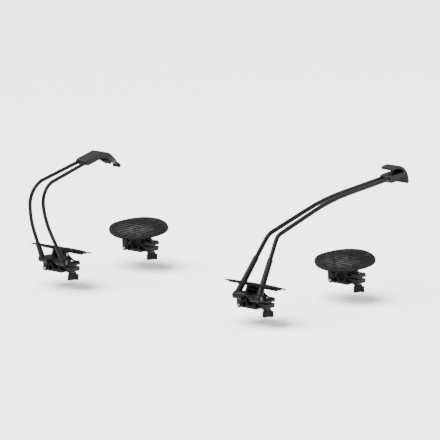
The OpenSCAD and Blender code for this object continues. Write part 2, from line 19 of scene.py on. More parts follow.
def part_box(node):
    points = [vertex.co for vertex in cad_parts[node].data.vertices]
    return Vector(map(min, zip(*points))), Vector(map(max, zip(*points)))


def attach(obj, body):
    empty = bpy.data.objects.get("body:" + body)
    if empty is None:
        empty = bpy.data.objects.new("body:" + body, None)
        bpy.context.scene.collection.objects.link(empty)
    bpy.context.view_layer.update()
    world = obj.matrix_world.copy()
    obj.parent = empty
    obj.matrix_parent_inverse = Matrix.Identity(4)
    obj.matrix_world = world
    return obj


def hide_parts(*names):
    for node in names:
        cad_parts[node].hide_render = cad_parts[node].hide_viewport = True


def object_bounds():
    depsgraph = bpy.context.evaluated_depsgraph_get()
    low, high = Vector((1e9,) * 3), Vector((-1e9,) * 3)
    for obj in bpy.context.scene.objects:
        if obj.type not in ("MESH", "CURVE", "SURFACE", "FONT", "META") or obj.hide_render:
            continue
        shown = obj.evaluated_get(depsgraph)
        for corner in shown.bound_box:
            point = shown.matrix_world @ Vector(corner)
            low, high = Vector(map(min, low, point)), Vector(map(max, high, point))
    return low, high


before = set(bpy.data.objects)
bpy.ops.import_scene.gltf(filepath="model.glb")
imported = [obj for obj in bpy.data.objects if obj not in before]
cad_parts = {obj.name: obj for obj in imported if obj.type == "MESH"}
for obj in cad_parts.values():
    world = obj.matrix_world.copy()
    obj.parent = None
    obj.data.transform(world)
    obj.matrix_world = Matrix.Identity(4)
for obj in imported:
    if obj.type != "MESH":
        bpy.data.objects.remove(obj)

log = logging.getLogger("carrier")
CAD_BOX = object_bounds()
Colour = tuple[float, float, float, float]
Point = tuple[float, float, float]

UNIT_SPACING = 0.760     # from the rear units to the front ones
FRONT_REACH = 0.425      # from the arm unit to the saddle unit at the front
REAR_REACH = 0.365       # the same at the rear
ARM_PAD_LEAN = -15       # degrees about +X
SADDLE_PAD_LEAN = 13
RIB_PITCH = 0.012        # from rib to rib of a pad, for its shape and its finish
NEAR = 0.00001           # points closer than this are one
FLAT = 0.6               # faces that meet at less than this, in degrees, are one
STEEP = 45               # an edge sharper than this, in degrees, is a rim


class Kind(Enum):
    """What a shader socket carries."""

    NUMBER = "number"
    COLOUR = "colour"
    VECTOR = "vector"


class Unit(Enum):
    """The four units of the set, by the name that their nodes start with."""

    FRONT_ARM = "front_arm"
    REAR_ARM = "rear_arm"
    FRONT_SADDLE = "front_saddle"
    REAR_SADDLE = "rear_saddle"

    @property
    def is_arm(self) -> bool:
        """Whether the unit carries an over-arm."""
        return self in (Unit.FRONT_ARM, Unit.REAR_ARM)

    @property
    def is_front(self) -> bool:
        """Whether the unit is one of the front two."""
        return self in (Unit.FRONT_ARM, Unit.FRONT_SADDLE)

    @property
    def origin(self) -> Vector:
        """Centre of the unit's clamp bore."""
        along = 0.0 if self.is_front else -UNIT_SPACING
        reach = FRONT_REACH if self.is_front else REAR_REACH
        return Vector((along, 0.0 if self.is_arm else reach, 0.0))

    @property
    def lean(self) -> float:
        """Lean of the pad about +X at rest, in radians."""
        return math.radians(ARM_PAD_LEAN if self.is_arm else SADDLE_PAD_LEAN)


# ---------------------------------------------------------------- shading


class Wire:
    """A shader socket that is used like a number, colour or vector in an expression."""

    def __init__(self, paint: "Paint", socket: bpy.types.NodeSocket, kind: Kind = Kind.NUMBER) -> None:
        """Wraps one output socket."""
        self.paint = paint
        self.socket = socket
        self.kind = kind

    def _with(self, operation: str, other: "Wire | float", swapped: bool = False) -> "Wire":
        """Adds the node that joins this wire to another value.

        Args:
            operation: The Math or Vector Math operation.
            other: The second value.
            swapped: Whether the other value comes first.

        Returns:
            The wire that carries the result.
        """
        pair = (other, self) if swapped else (self, other)
        if self.kind is Kind.VECTOR:
            node = self.paint.node("ShaderNodeVectorMath", {"operation": operation}, {0: pair[0], 1: pair[1]})
            return Wire(self.paint, node.outputs[0], Kind.VECTOR)
        node = self.paint.node("ShaderNodeMath", {"operation": operation}, {0: pair[0], 1: pair[1]})
        return Wire(self.paint, node.outputs[0])

    def __add__(self, other: "Wire | float") -> "Wire":
        """This plus other."""
        return self._with("ADD", other)

    def __radd__(self, other: float) -> "Wire":
        """Other plus this."""
        return self._with("ADD", other, True)

    def __sub__(self, other: "Wire | float") -> "Wire":
        """This minus other."""
        return self._with("SUBTRACT", other)

    def __rsub__(self, other: float) -> "Wire":
        """Other minus this."""
        return self._with("SUBTRACT", other, True)

    def __mul__(self, other: "Wire | float") -> "Wire":
        """This times other."""
        return self._with("MULTIPLY", other)

    def __rmul__(self, other: float) -> "Wire":
        """Other times this."""
        return self._with("MULTIPLY", other, True)

    def only(self, operation: str) -> "Wire":
        """This through an operation that takes one value.

        Args:
            operation: The Math operation.

        Returns:
            The wire that carries the result.
        """
        node = self.paint.node("ShaderNodeMath", {"operation": operation}, {0: self})
        return Wire(self.paint, node.outputs[0])

    def off_row(self, pitch: float) -> "Wire":
        """Distance to the nearest of many rows, as a share of the pitch between them.

        Args:
            pitch: The distance from row to row.

        Returns:
            0 on a row and 0.5 midway between two.
        """
        row = self * (1 / pitch)
        return (row - row.only("ROUND")).only("ABSOLUTE")

    def between(self, low: float, high: float) -> "Wire":
        """This stretched so that low becomes 0 and high 1, and held there.

        Args:
            low: The value that becomes 0.
            high: The value that becomes 1.

        Returns:
            The held result.
        """
        stretch = {0: self, 1: low, 2: high, 3: 0.0, 4: 1.0}
        node = self.paint.node("ShaderNodeMapRange", {"clamp": True}, stretch)
        return Wire(self.paint, node.outputs[0])


class Paint:
    """One node material under construction."""

    def __init__(self, name: str) -> None:
        """Starts an empty material with its output and shader."""
        self.material = bpy.data.materials.new(name)
        self.material.use_nodes = True
        self.tree = self.material.node_tree
        self.tree.nodes.clear()
        self.shader = self.node("ShaderNodeBsdfPrincipled", {}, {})
        self.node("ShaderNodeOutputMaterial", {}, {"Surface": self.shader.outputs[0]})
        coords = self.node("ShaderNodeTexCoord", {}, {})
        self.place = Wire(self, coords.outputs["Object"], Kind.VECTOR)
        self.plan = Wire(self, coords.outputs["UV"], Kind.VECTOR)

    def node(self, kind: str, settings: dict[str, Any], inputs: dict[Any, Any]) -> bpy.types.Node:
        """Makes any node.

        Args:
            kind: The node's type name.
            settings: Its settings, set before its sockets.
            inputs: Values, wires or sockets, by socket name or number.

        Returns:
            The new node.
        """
        node = self.tree.nodes.new(kind)
        for key, value in settings.items():
            setattr(node, key, value)
        for key, value in inputs.items():
            if isinstance(value, Wire):
                self.tree.links.new(value.socket, node.inputs[key])
            elif isinstance(value, bpy.types.NodeSocket):
                self.tree.links.new(value, node.inputs[key])
            else:
                node.inputs[key].default_value = value
        return node

    def noise(self, scale: float, detail: float = 2.0, stretch: Point = (1.0, 1.0, 1.0)) -> Wire:
        """A noise pattern on the object's own coordinates.

        Args:
            scale: Features per metre.
            detail: How many finer layers it has.
            stretch: How the pattern is scaled along each axis first.

        Returns:
            A wire from 0 to 1.
        """
        mapped = self.node("ShaderNodeMapping", {}, {"Vector": self.place, "Scale": stretch})
        settings = {"Vector": mapped.outputs[0], "Scale": scale, "Detail": detail}
        node = self.node("ShaderNodeTexNoise", {}, settings)
        return Wire(self, node.outputs["Fac"])

    def blend(self, factor: Wire, first: Colour | Wire, second: Colour | Wire) -> Wire:
        """Mixes two colours.

        Args:
            factor: 0 gives the first colour, 1 the second.
            first: A colour or a colour wire.
            second: A colour or a colour wire.

        Returns:
            A colour wire.
        """
        node = self.node("ShaderNodeMix", {"data_type": "RGBA"}, {0: factor, 6: first, 7: second})
        return Wire(self, node.outputs[2], Kind.COLOUR)

    def parts(self, place: Wire) -> tuple[Wire, Wire]:
        """The first two numbers of a vector.

        Args:
            place: The vector.

        Returns:
            Its x and y.
        """
        node = self.node("ShaderNodeSeparateXYZ", {}, {0: place})
        return Wire(self, node.outputs[0]), Wire(self, node.outputs[1])

    def upward(self) -> Wire:
        """How far the surface faces up, from 0 to 1."""
        geometry = self.node("ShaderNodeNewGeometry", {}, {})
        parts = self.node("ShaderNodeSeparateXYZ", {}, {0: geometry.outputs["Normal"]})
        return Wire(self, parts.outputs[2]).between(0.0, 1.0)

    def bump(self, height: Wire, depth: float, strength: float = 1.0) -> None:
        """Raises the surface by a pattern.

        Args:
            height: The pattern, from 0 to 1.
            depth: Its depth in metres.
            strength: How strongly it shows.
        """
        node = self.node("ShaderNodeBump", {}, {"Height": height, "Distance": depth, "Strength": strength})
        self.tree.links.new(node.outputs[0], self.shader.inputs["Normal"])

    def finish(self, colour: Wire, roughness: Wire, **constants: float) -> bpy.types.Material:
        """Joins colour and roughness to the shader and sets its constant sockets.

        Args:
            colour: The base colour.
            roughness: The roughness.
            **constants: Other sockets' values, with _ for a space in their names.

        Returns:
            The material.
        """
        self.tree.links.new(colour.socket, self.shader.inputs["Base Color"])
        self.tree.links.new(roughness.socket, self.shader.inputs["Roughness"])
        for key, value in constants.items():
            self.shader.inputs[key.replace("_", " ")].default_value = value
        return self.material


def grey(value: float, warmth: float = 0.0) -> Colour:
    """A grey with a little warmth.

    Args:
        value: Its brightness.
        warmth: How far red rises and blue falls, as a share.

    Returns:
        The colour.
    """
    return (value * (1 + warmth), value, value * (1 - warmth), 1.0)


@dataclass(frozen=True)
class MouldedNylon:
    """Black glass-filled nylon with a fine spark-eroded grain and some road dust."""

    name: str = "moulded_nylon"
    shade: float = 0.0045
    dust_shade: float = 0.017
    gloss: float = 0.38
    grain_depth: float = 0.00012
    specular: float = 0.09

    def material(self) -> bpy.types.Material:
        """Makes the material."""
        paint = Paint(self.name)
        grain = paint.noise(scale=1400, detail=2)
        cloud = paint.noise(scale=28, detail=3)
        scuff = paint.noise(scale=160, detail=4, stretch=(1.0, 4.0, 1.0)).between(0.62, 0.74) * 0.5
        dust = paint.upward() * cloud.between(0.40, 0.75) * 0.30
        skin = paint.blend(scuff, grey(self.shade), grey(self.shade * 2.2))
        colour = paint.blend(dust, skin, grey(self.dust_shade, 0.05))
        paint.bump(grain, depth=self.grain_depth, strength=0.5)
        roughness = self.gloss + cloud * 0.10 + dust * 0.5 + scuff * 0.15
        return paint.finish(colour, roughness, Specular_IOR_Level=self.specular)


@dataclass(frozen=True)
class PadRubber:
    """Black moulded rubber: matt skin, rows of small pips on the ribs, crests and pips painted paler in a
    band, partly rubbed by use and partly a painted highlight.
    """

    name: str = "pad_rubber"
    shade: float = 0.0080
    # pale grey of the crests and pips in the band, partly wear and partly a painted highlight; the dust takes
    # it too
    wear_highlight_and_dust_shade: float = 0.060
    gloss: float = 0.60
    pip_pitch: float = 0.0075
    pip_depth: float = 0.0007
    # the band where crests and pips are painted paler, partly wear and partly a painted highlight
    wear_and_highlight_centre: float = -0.020
    wear_and_highlight_length: float = 0.075
    wear_and_highlight_width: float = 0.048
    specular: float = 0.015

    def material(self) -> bpy.types.Material:
        """Makes the material. The pad's UV map is its plan in metres."""
        paint = Paint(self.name)
        along, across = paint.parts(paint.plan)
        crest = across.off_row(RIB_PITCH).between(0.30, 0.20)
        pip_x = along.off_row(self.pip_pitch)
        pip_y = across.off_row(RIB_PITCH) * (RIB_PITCH / self.pip_pitch)
        pip = crest * (pip_x * pip_x + pip_y * pip_y).between(0.060, 0.025)
        out_x = along * (1 / self.wear_and_highlight_length)
        out_y = (across - self.wear_and_highlight_centre) * (1 / self.wear_and_highlight_width)
        zone = (out_x * out_x + out_y * out_y).between(1.1, 0.15)
        skin = paint.noise(scale=900, detail=3)
        cloud = paint.noise(scale=55, detail=4)
        # crests in the band painted paler: partly rubbed wear, partly a painted highlight that lifts the ribs
        # against darker grooves; pips paler still
        wear_and_highlight = zone * crest * cloud.between(0.30, 0.62)
        dust = paint.upward() * cloud.between(0.45, 0.75) * 0.12
        colour = paint.blend(wear_and_highlight * 0.55 + wear_and_highlight * pip * 0.45, grey(self.shade), grey(self.wear_highlight_and_dust_shade, 0.02))
        colour = paint.blend(dust, colour, grey(self.wear_highlight_and_dust_shade, 0.05))
        paint.bump(pip * 0.8 + skin * 0.2, depth=self.pip_depth, strength=0.6)
        roughness = self.gloss + wear_and_highlight * 0.14 + skin * 0.10
        return paint.finish(colour, roughness, Specular_IOR_Level=self.specular)


@dataclass(frozen=True)
class SoftRubber:
    """Black soft rubber of the clamp liners and hook linings."""

    name: str = "soft_rubber"
    shade: float = 0.005
    gloss: float = 0.72
    skin_depth: float = 0.00015
    specular: float = 0.10

    def material(self) -> bpy.types.Material:
        """Makes the material."""
        paint = Paint(self.name)
        skin = paint.noise(scale=1100, detail=2)
        bloom = paint.noise(scale=35, detail=3).between(0.45, 0.8)
        colour = paint.blend(bloom * 0.6, grey(self.shade), grey(self.shade * 2.6))
        paint.bump(skin, depth=self.skin_depth, strength=0.4)
        return paint.finish(colour, self.gloss + bloom * 0.12, Specular_IOR_Level=self.specular)


@dataclass(frozen=True)
class RodCoat:
    """Satin black powder coat on a metal rod, with a faint orange peel and fine scratches."""

    name: str = "rod_coat"
    shade: float = 0.004
    scratch_shade: float = 0.022
    gloss: float = 0.32
    peel_depth: float = 0.00009
    specular: float = 0.08

    def material(self) -> bpy.types.Material:
        """Makes the material."""
        paint = Paint(self.name)
        peel = paint.noise(scale=520, detail=1)
        haze = paint.noise(scale=40, detail=2)
        scratch = paint.noise(scale=240, detail=3, stretch=(1.0, 0.12, 0.5)).between(0.68, 0.76)
        colour = paint.blend(scratch * 0.5, grey(self.shade), grey(self.scratch_shade))
        paint.bump(peel, depth=self.peel_depth, strength=0.5)
        roughness = self.gloss + haze * 0.12 + scratch * 0.2
        return paint.finish(colour, roughness, Specular_IOR_Level=self.specular)


@dataclass(frozen=True)
class PlatedSteel:
    """Zinc-plated or blackened steel with turned marks and dull patches."""

    name: str = "plated_steel"
    shade: float = 0.20
    gloss: float = 0.30
    dull: float = 0.22
    turning_depth: float = 0.00005

    def material(self) -> bpy.types.Material:
        """Makes the material."""
        paint = Paint(self.name)
        turning = paint.noise(scale=1600, detail=1, stretch=(1.0, 1.0, 0.15))
        patch = paint.noise(scale=120, detail=3).between(0.4, 0.75)
        colour = paint.blend(patch, grey(self.shade), grey(self.shade * 0.6, 0.04))
        paint.bump(turning, depth=self.turning_depth, strength=0.4)
        return paint.finish(colour, self.gloss + patch * self.dull + turning * 0.06, Metallic=1.0)


@dataclass(frozen=True)
class StudioPaper:
    """The pale paper under the set."""

    name: str = "studio_paper"
    low_shade: float = 0.86
    high_shade: float = 0.88
    gloss: float = 0.85

    def material(self) -> bpy.types.Material:
        """Makes the material."""
        paint = Paint(self.name)
        fibre = paint.noise(scale=30, detail=2)
        colour = paint.blend(fibre, grey(self.low_shade), grey(self.high_shade))
        return paint.finish(colour, self.gloss + fibre * 0.05, Specular_IOR_Level=0.1)


class Finishes:
    """The set's materials, each made once."""

    def __init__(self) -> None:
        """Makes them all."""
        self.nylon = MouldedNylon().material()
        self.knob = MouldedNylon("knob_nylon", shade=0.004, dust_shade=0.020, gloss=0.32).material()
        self.pad = PadRubber().material()
        self.soft = SoftRubber().material()
        self.rod = RodCoat().material()
        self.steel = PlatedSteel().material()
        self.black_bolt = PlatedSteel("blackened_steel", shade=0.05, gloss=0.34, dull=0.18).material()
        self.paper = StudioPaper().material()


# ---------------------------------------------------------------- modelling


class Bench:
    """Modelling steps that the pieces share, all done with Blender's own operators."""

    @staticmethod
    def only(obj: bpy.types.Object) -> None:
        """Makes obj the one selected and active object."""
        bpy.ops.object.select_all(action="DESELECT")
        obj.select_set(True)
        bpy.context.view_layer.objects.active = obj

    @staticmethod
    @contextmanager
    def editing(obj: bpy.types.Object) -> Iterator[None]:
        """Opens obj in edit mode with everything selected, and closes it after."""
        Bench.only(obj)
        bpy.ops.object.mode_set(mode="EDIT")
        bpy.ops.mesh.select_mode(type="VERT")
        bpy.ops.mesh.select_all(action="SELECT")
        yield
        bpy.ops.object.mode_set(mode="OBJECT")

    @staticmethod
    def pick(obj: bpy.types.Object, mode: str, test: Callable[[Any], bool]) -> None:
        """Selects the elements of an open mesh that pass a test.

        Args:
            obj: The object in edit mode.
            mode: VERT, EDGE or FACE.
            test: Says whether an element is wanted.
        """
        bpy.ops.mesh.select_mode(type=mode)
        bpy.ops.mesh.select_all(action="DESELECT")
        mesh = bmesh.from_edit_mesh(obj.data)
        elements = {"VERT": mesh.verts, "EDGE": mesh.edges, "FACE": mesh.faces}[mode]
        for element in filter(test, elements):
            element.select_set(True)
        mesh.select_flush_mode()
        bmesh.update_edit_mesh(obj.data)

    @staticmethod
    def start(name: str) -> bpy.types.Object:
        """Names the primitive just added and sets its place into its mesh."""
        obj = bpy.context.object
        obj.name = name
        obj.data.name = name
        Bench.only(obj)
        bpy.ops.object.transform_apply(location=True, rotation=True, scale=True)
        return obj

    @staticmethod
    def ring(name: str, outline: Sequence[Point]) -> bpy.types.Object:
        """A circle drawn out to a closed outline.

        Args:
            name: The object's name.
            outline: Where its points go, in order.

        Returns:
            The ring, with no face.
        """
        bpy.ops.object.select_all(action="DESELECT")
        bpy.ops.mesh.primitive_circle_add(vertices=len(outline), radius=0.01, fill_type="NOTHING")
        obj = Bench.start(name)
        for vertex, place in zip(obj.data.vertices, outline):
            vertex.co = place
        return obj

    @staticmethod
    def block(name: str, low: Point, high: Point) -> bpy.types.Object:
        """A cube drawn out to a box, as a start for shaping.

        Args:
            name: The object's name.
            low: The box's lowest corner.
            high: Its highest corner.

        Returns:
            The block.
        """
        bpy.ops.object.select_all(action="DESELECT")
        middle = [(a + b) / 2 for a, b in zip(low, high)]
        bpy.ops.mesh.primitive_cube_add(size=1, location=middle, scale=[b - a for a, b in zip(low, high)])
        return Bench.start(name)

    @staticmethod
    def from_node(node: str, name: str) -> bpy.types.Object:
        """A merged copy of a CAD node's mesh, with its flat faces joined up.

        Args:
            node: The node.
            name: The new object's name.

        Returns:
            The copy.
        """
        obj = bpy.data.objects.new(name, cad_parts[node].data.copy())
        bpy.context.scene.collection.objects.link(obj)
        obj.data.materials.clear()
        with Bench.editing(obj):
            bpy.ops.mesh.remove_doubles(threshold=2 * NEAR)
            bpy.ops.mesh.dissolve_limited(angle_limit=math.radians(FLAT))
        return obj

    @staticmethod
    def modify(obj: bpy.types.Object, kind: str, **settings: Any) -> None:
        """Adds a modifier and applies it.

        Args:
            obj: The object.
            kind: The modifier's type.
            **settings: Its settings.
        """
        Bench.only(obj)
        modifier = obj.modifiers.new(kind.lower(), kind)
        for key, value in settings.items():
            setattr(modifier, key, value)
        bpy.ops.object.modifier_apply(modifier=modifier.name)

    @staticmethod
    def round_edges(obj: bpy.types.Object, width: float, segments: int = 2, angle: float = 34) -> None:
        """Rounds the sharp edges as a mould does, and smooths the shading.

        Args:
            obj: The object.
            width: Width of the rounding in metres.
            segments: Its steps.
            angle: The least angle of an edge that is rounded, in degrees.
        """
        Bench.modify(obj, "BEVEL", width=width, segments=segments, limit_method="ANGLE",
                     angle_limit=math.radians(angle), use_clamp_overlap=True, miter_outer="MITER_ARC")
        Bench.smooth(obj)

    @staticmethod
    def smooth(obj: bpy.types.Object, angle: float = 32) -> None:
        """Smooths the shading across all but the sharp edges, and keeps it level on the flats.

        Args:
            obj: The object.
            angle: The least angle of an edge that stays sharp, in degrees.
        """
        Bench.only(obj)
        bpy.ops.object.shade_smooth_by_angle(angle=math.radians(angle))
        Bench.modify(obj, "WEIGHTED_NORMAL", weight=90, keep_sharp=True)

    @staticmethod
    def outwards(obj: bpy.types.Object) -> None:
        """Merges doubles and points all faces out."""
        with Bench.editing(obj):
            bpy.ops.mesh.remove_doubles(threshold=NEAR)
            bpy.ops.mesh.normals_make_consistent(inside=False)

    @staticmethod
    def join(name: str, parts: Sequence[bpy.types.Object]) -> bpy.types.Object:
        """Joins several objects into one.

        Args:
            name: The joined object's name.
            parts: The objects, which are used up.

        Returns:
            The joined object.
        """
        Bench.only(parts[0])
        for part in parts:
            part.select_set(True)
        bpy.ops.object.join()
        parts[0].name = name
        parts[0].data.name = name
        return parts[0]

    @staticmethod
    def map_plan(obj: bpy.types.Object) -> None:
        """Lays the plan of a piece, in metres, out as its one UV map."""
        while obj.data.uv_layers:
            obj.data.uv_layers.remove(obj.data.uv_layers[0])
        layer = obj.data.uv_layers.new(name="plan")
        for loop, entry in zip(obj.data.loops, layer.data):
            entry.uv = obj.data.vertices[loop.vertex_index].co.xy

    @staticmethod
    def bent_rod(name: str, points: Sequence[Vector], bends: Sequence[float], radius: float,
                 sides: int = 28, step: float = 4) -> bpy.types.Object:
        """A round rod, extruded along its straights and spun round its bends.

        Args:
            name: The object's name.
            points: The path's corners.
            bends: Bend radius at each corner.
            radius: The rod's radius.
            sides: How many sides its section has.
            step: The most that a bend turns from ring to ring, in degrees.

        Returns:
            The rod.
        """
        first = points[0]
        start_way = (points[1] - first).normalized()
        bpy.ops.object.select_all(action="DESELECT")
        bpy.ops.mesh.primitive_circle_add(vertices=sides, radius=radius, fill_type="NOTHING", location=first,
                                          rotation=start_way.to_track_quat("Z", "Y").to_euler())
        obj = Bench.start(name)
        here = first.copy()
        with Bench.editing(obj):
            for i in range(1, len(points)):
                heading = (points[i] - points[i - 1]).normalized()
                last = i == len(points) - 1
                after = heading if last else (points[i + 1] - points[i]).normalized()
                turn = 0.0 if last else heading.angle(after)
                stop = points[i] - heading * (bends[i] * math.tan(turn / 2))
                bpy.ops.mesh.extrude_region_move(TRANSFORM_OT_translate={"value": stop - here})
                here = stop
                if turn > 0:
                    side = (after - heading * after.dot(heading)).normalized()
                    centre = stop + side * bends[i]
                    axis = heading.cross(side).normalized()
                    steps = max(4, math.ceil(math.degrees(turn) / step))
                    bpy.ops.mesh.spin(steps=steps, angle=-turn, center=centre, axis=axis)
                    here = centre + Matrix.Rotation(turn, 3, axis) @ (stop - centre)
            bpy.ops.mesh.edge_face_add()
            Bench.pick(obj, "VERT", lambda v: abs((v.co - first).dot(start_way)) < NEAR
                       and (v.co - first).length < 2 * radius)
            bpy.ops.mesh.edge_face_add()
        Bench.outwards(obj)
        Bench.smooth(obj, angle=50)
        return obj


def settle(obj: bpy.types.Object, material: bpy.types.Material, body: str, slot: str, *nodes: str) -> None:
    """Gives a finished piece its finish and body, and hides the CAD nodes that it stands for.

    Args:
        obj: The piece.
        material: Its finish.
        body: The body that it rides on.
        slot: The record's material slot; not used.
        *nodes: The CAD nodes that it replaces.
    """
    obj.data.materials.clear()
    obj.data.materials.append(material)
    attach(obj, body)
    if nodes:
        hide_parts(*nodes)
    log.info("%s: %d faces on %s", obj.name, len(obj.data.polygons), body)


def work_up(node: str, body: str, slot: str, width: float, material: bpy.types.Material,
            segments: int = 2) -> None:
    """Makes a piece from its solid, with rounded edges and its finish.

    Args:
        node: The CAD node.
        body: The body that it rides on.
        slot: Its material slot.
        width: Width of the rounding.
        material: Its finish.
        segments: Steps of the rounding.
    """
    obj = Bench.from_node(node, f"{node}_piece")
    Bench.round_edges(obj, width, segments)
    settle(obj, material, body, slot, node)


# ---------------------------------------------------------------- pieces


@dataclass
class Clamp:
    """The clamp of one unit: base, jaw, liners and their metal parts."""

    unit: Unit
    finishes: Finishes
    base_edge: float = 0.0012
    jaw_edge: float = 0.0010
    knob_edge: float = 0.0016
    liner_edge: float = 0.0004
    pin_edge: float = 0.0005
    bolt_edge: float = 0.0004
    washer_edge: float = 0.0003

    def build(self) -> None:
        """Makes the clamp's pieces."""
        name, finishes = self.unit.value, self.finishes
        jaw_body = f"{name}_jaw_body"
        work_up(f"{name}_base", "root", "moulding", self.base_edge, finishes.nylon)
        work_up(f"{name}_jaw", jaw_body, "moulding", self.jaw_edge, finishes.nylon)
        work_up(f"{name}_liner_top", "root", "liner_rubber", self.liner_edge, finishes.soft)
        work_up(f"{name}_liner_bottom", jaw_body, "liner_rubber", self.liner_edge, finishes.soft)
        for pin in ("jaw_pin", "tilt_pin"):
            work_up(f"{name}_{pin}", "root", "steel", self.pin_edge, finishes.steel)
        work_up(f"{name}_clamp_bolt", "root", "steel", self.bolt_edge, finishes.steel)
        work_up(f"{name}_washer", f"{name}_washer_body", "steel", self.washer_edge, finishes.steel)
        work_up(f"{name}_knob", f"{name}_knob_body", "knob_plastic", self.knob_edge, finishes.knob,
                segments=3)


@dataclass
class SaddlePad:
    """The rubber pad of one unit and the carrier under it."""

    unit: Unit
    finishes: Finishes
    half_length: float = 0.105
    half_width: float = 0.079
    foot: float = 0.0135            # height of the pad's underside above its tilt pin
    middle: float = 0.0045          # thickness on the middle line, over the ribs
    edge_top: float = 0.007         # the same at the long edges
    dish: float = 1.250             # radius of the hollow top
    dish_steps: int = 24
    tilt_z: float = 0.030           # height of the tilt pin above the clamp bore's axis
    rim: float = 0.011              # plain border round the ribs
    rib: float = 0.0074             # width of a rib
    rib_edge: float = 0.0012
    rib_root: float = 0.001         # how far a rib goes into the slab
    least_rib: float = 0.008
    groove_depth: float = 0.002
    slot_in: float = 0.019          # from the pad's middle to an arm slot's near side
    slot_width: float = 0.036
    slot_end: float = 0.026
    slot_margin: float = 0.0035     # from an arm slot to the ribs
    tip_length: float = 0.034       # how far the underside rises towards each tip
    tip_rise: float = 0.002
    tip_edge: float = 0.0012        # least thickness at a tip, without ribs
    clear: float = 0.001            # a point this far above the underside is off it
    slab_edge: float = 0.0014
    carrier_edge: float = 0.0009
    point: float = 1.2              # 1 makes the outline an ellipse, more makes it more pointed
    outline_steps: int = 96
    slot_steps: int = 12

    @property
    def slot_centre(self) -> float:
        """Distance of an arm slot's middle line from the pad's middle."""
        return self.slot_in + self.slot_width / 2

    def rise(self, y: float) -> float:
        """Height of the hollow top above the foot at a distance from the middle line."""
        return min(self.edge_top, self.middle + self.dish - math.sqrt(self.dish**2 - y**2))

    def reach(self, y: float, inset: float = 0.0) -> float:
        """Half of the pad's length at a distance from its middle line.

        Args:
            y: The distance.
            inset: How far inside the outline.

        Returns:
            Half of the length, or 0 past the edge.
        """
        width = self.half_width - inset
        if abs(y) >= width:
            return 0.0
        return (self.half_length - inset) * math.sqrt(1 - (abs(y) / width) ** (2 / self.point))

    def edge_y(self, x: float) -> float:
        """Half of the pad's width at a distance along it."""
        return self.half_width * (1 - (x / self.half_length) ** 2) ** (self.point / 2)

    def slot(self, middle: float) -> list[Point]:
        """One arm slot, from the pad's outboard edge round the slot's end and back.

        Args:
            middle: Distance of its middle line along the pad.

        Returns:
            Its points, from the rear side to the front one.
        """
        r = self.slot_width / 2
        turns = [math.pi * (1 - j / self.slot_steps) for j in range(self.slot_steps + 1)]
        rounded = [(middle + r * math.cos(t), self.slot_end - r + r * math.sin(t), self.foot) for t in turns]
        ends = [(middle + side * r, -self.edge_y(middle + side * r), self.foot) for side in (-1, 1)]
        return [ends[0], *rounded, ends[1]]

    def outline(self) -> list[Point]:
        """The pad's outline at its foot, with the arm slots on an arm unit."""
        points: list[Point] = []
        slots = [-self.slot_centre, self.slot_centre] if self.unit.is_arm else []
        waiting = list(slots)
        for i in range(self.outline_steps):
            t = 2 * math.pi * i / self.outline_steps
            s = math.sin(t)
            x, y = self.half_length * math.cos(t), self.half_width * math.copysign(abs(s) ** self.point, s)
            near = [c for c in slots if y < 0 and abs(x - c) <= self.slot_width / 2]
            if not near:
                points.append((x, y, self.foot))
            elif near[0] in waiting:
                points.extend(self.slot(waiting.pop(0)))
        return points

    def raised(self, vertex: Any) -> bool:
        """Whether a point of the slab lies clear of the flat underside."""
        return vertex.co.z > self.foot + self.clear

    def slab(self, name: str) -> bpy.types.Object:
        """The pad's body: its outline filled, hollowed across and drawn down to its foot.

        Args:
            name: The object's name.

        Returns:
            The slab, in the pad's own frame.
        """
        obj = Bench.ring(name, self.outline())
        with Bench.editing(obj):
            bpy.ops.mesh.edge_face_add()
            for i in range(1, self.dish_steps):
                y = self.half_width * (2 * i / self.dish_steps - 1)
                bpy.ops.mesh.select_all(action="SELECT")
                bpy.ops.mesh.bisect(plane_co=(0, y, 0), plane_no=(0, 1, 0))
            bpy.ops.mesh.select_all(action="SELECT")
            bpy.ops.mesh.extrude_region_move(TRANSFORM_OT_translate={"value": (0, 0, self.middle)})
        for vertex in obj.data.vertices:
            past = max(0.0, abs(vertex.co.x) - self.half_length + self.tip_length)
            lift = past / self.tip_length * self.tip_rise
            if self.raised(vertex):
                top = max(self.rise(vertex.co.y) - self.groove_depth, lift + self.tip_edge)
                vertex.co.z = self.foot + top
            else:
                vertex.co.z = self.foot + lift
        Bench.outwards(obj)
        return obj

    def rib_spans(self, y: float) -> list[tuple[float, float]]:
        """Where a rib at y runs, as pairs of ends along the pad.

        Args:
            y: The rib's distance from the middle line.

        Returns:
            The pairs.
        """
        half = self.reach(abs(y) + self.rib / 2, self.rim)
        if half < self.least_rib:
            return []
        if not self.unit.is_arm:
            return [(-half, half)]
        middle = self.slot_centre
        radius = self.slot_width / 2 + self.slot_margin
        top = y - self.rib / 2 - (self.slot_end - self.slot_width / 2)
        if top >= radius:
            return [(-half, half)]
        room = radius if top <= 0 else math.sqrt(radius**2 - top**2)
        spans = [(-half, -middle - room), (room - middle, middle - room), (middle + room, half)]
        return [(a, b) for a, b in spans if b - a > self.least_rib]

    def rib_bar(self, name: str, y: float, span: tuple[float, float]) -> bpy.types.Object:
        """One raised grip rib with rounded edges and ends.

        Args:
            name: The object's name.
            y: Its distance from the middle line.
            span: Where it starts and ends along the pad.

        Returns:
            The rib.
        """
        top = self.foot + self.rise(y)
        base = top - self.groove_depth - self.rib_root
        obj = Bench.block(name, (span[0], y - self.rib / 2, base), (span[1], y + self.rib / 2, top))
        with Bench.editing(obj):
            Bench.pick(obj, "EDGE", lambda e: any(v.co.z > (base + top) / 2 for v in e.verts))
            bpy.ops.mesh.bevel(offset=self.rib_edge, segments=3, affect="EDGES", clamp_overlap=True)
        return obj

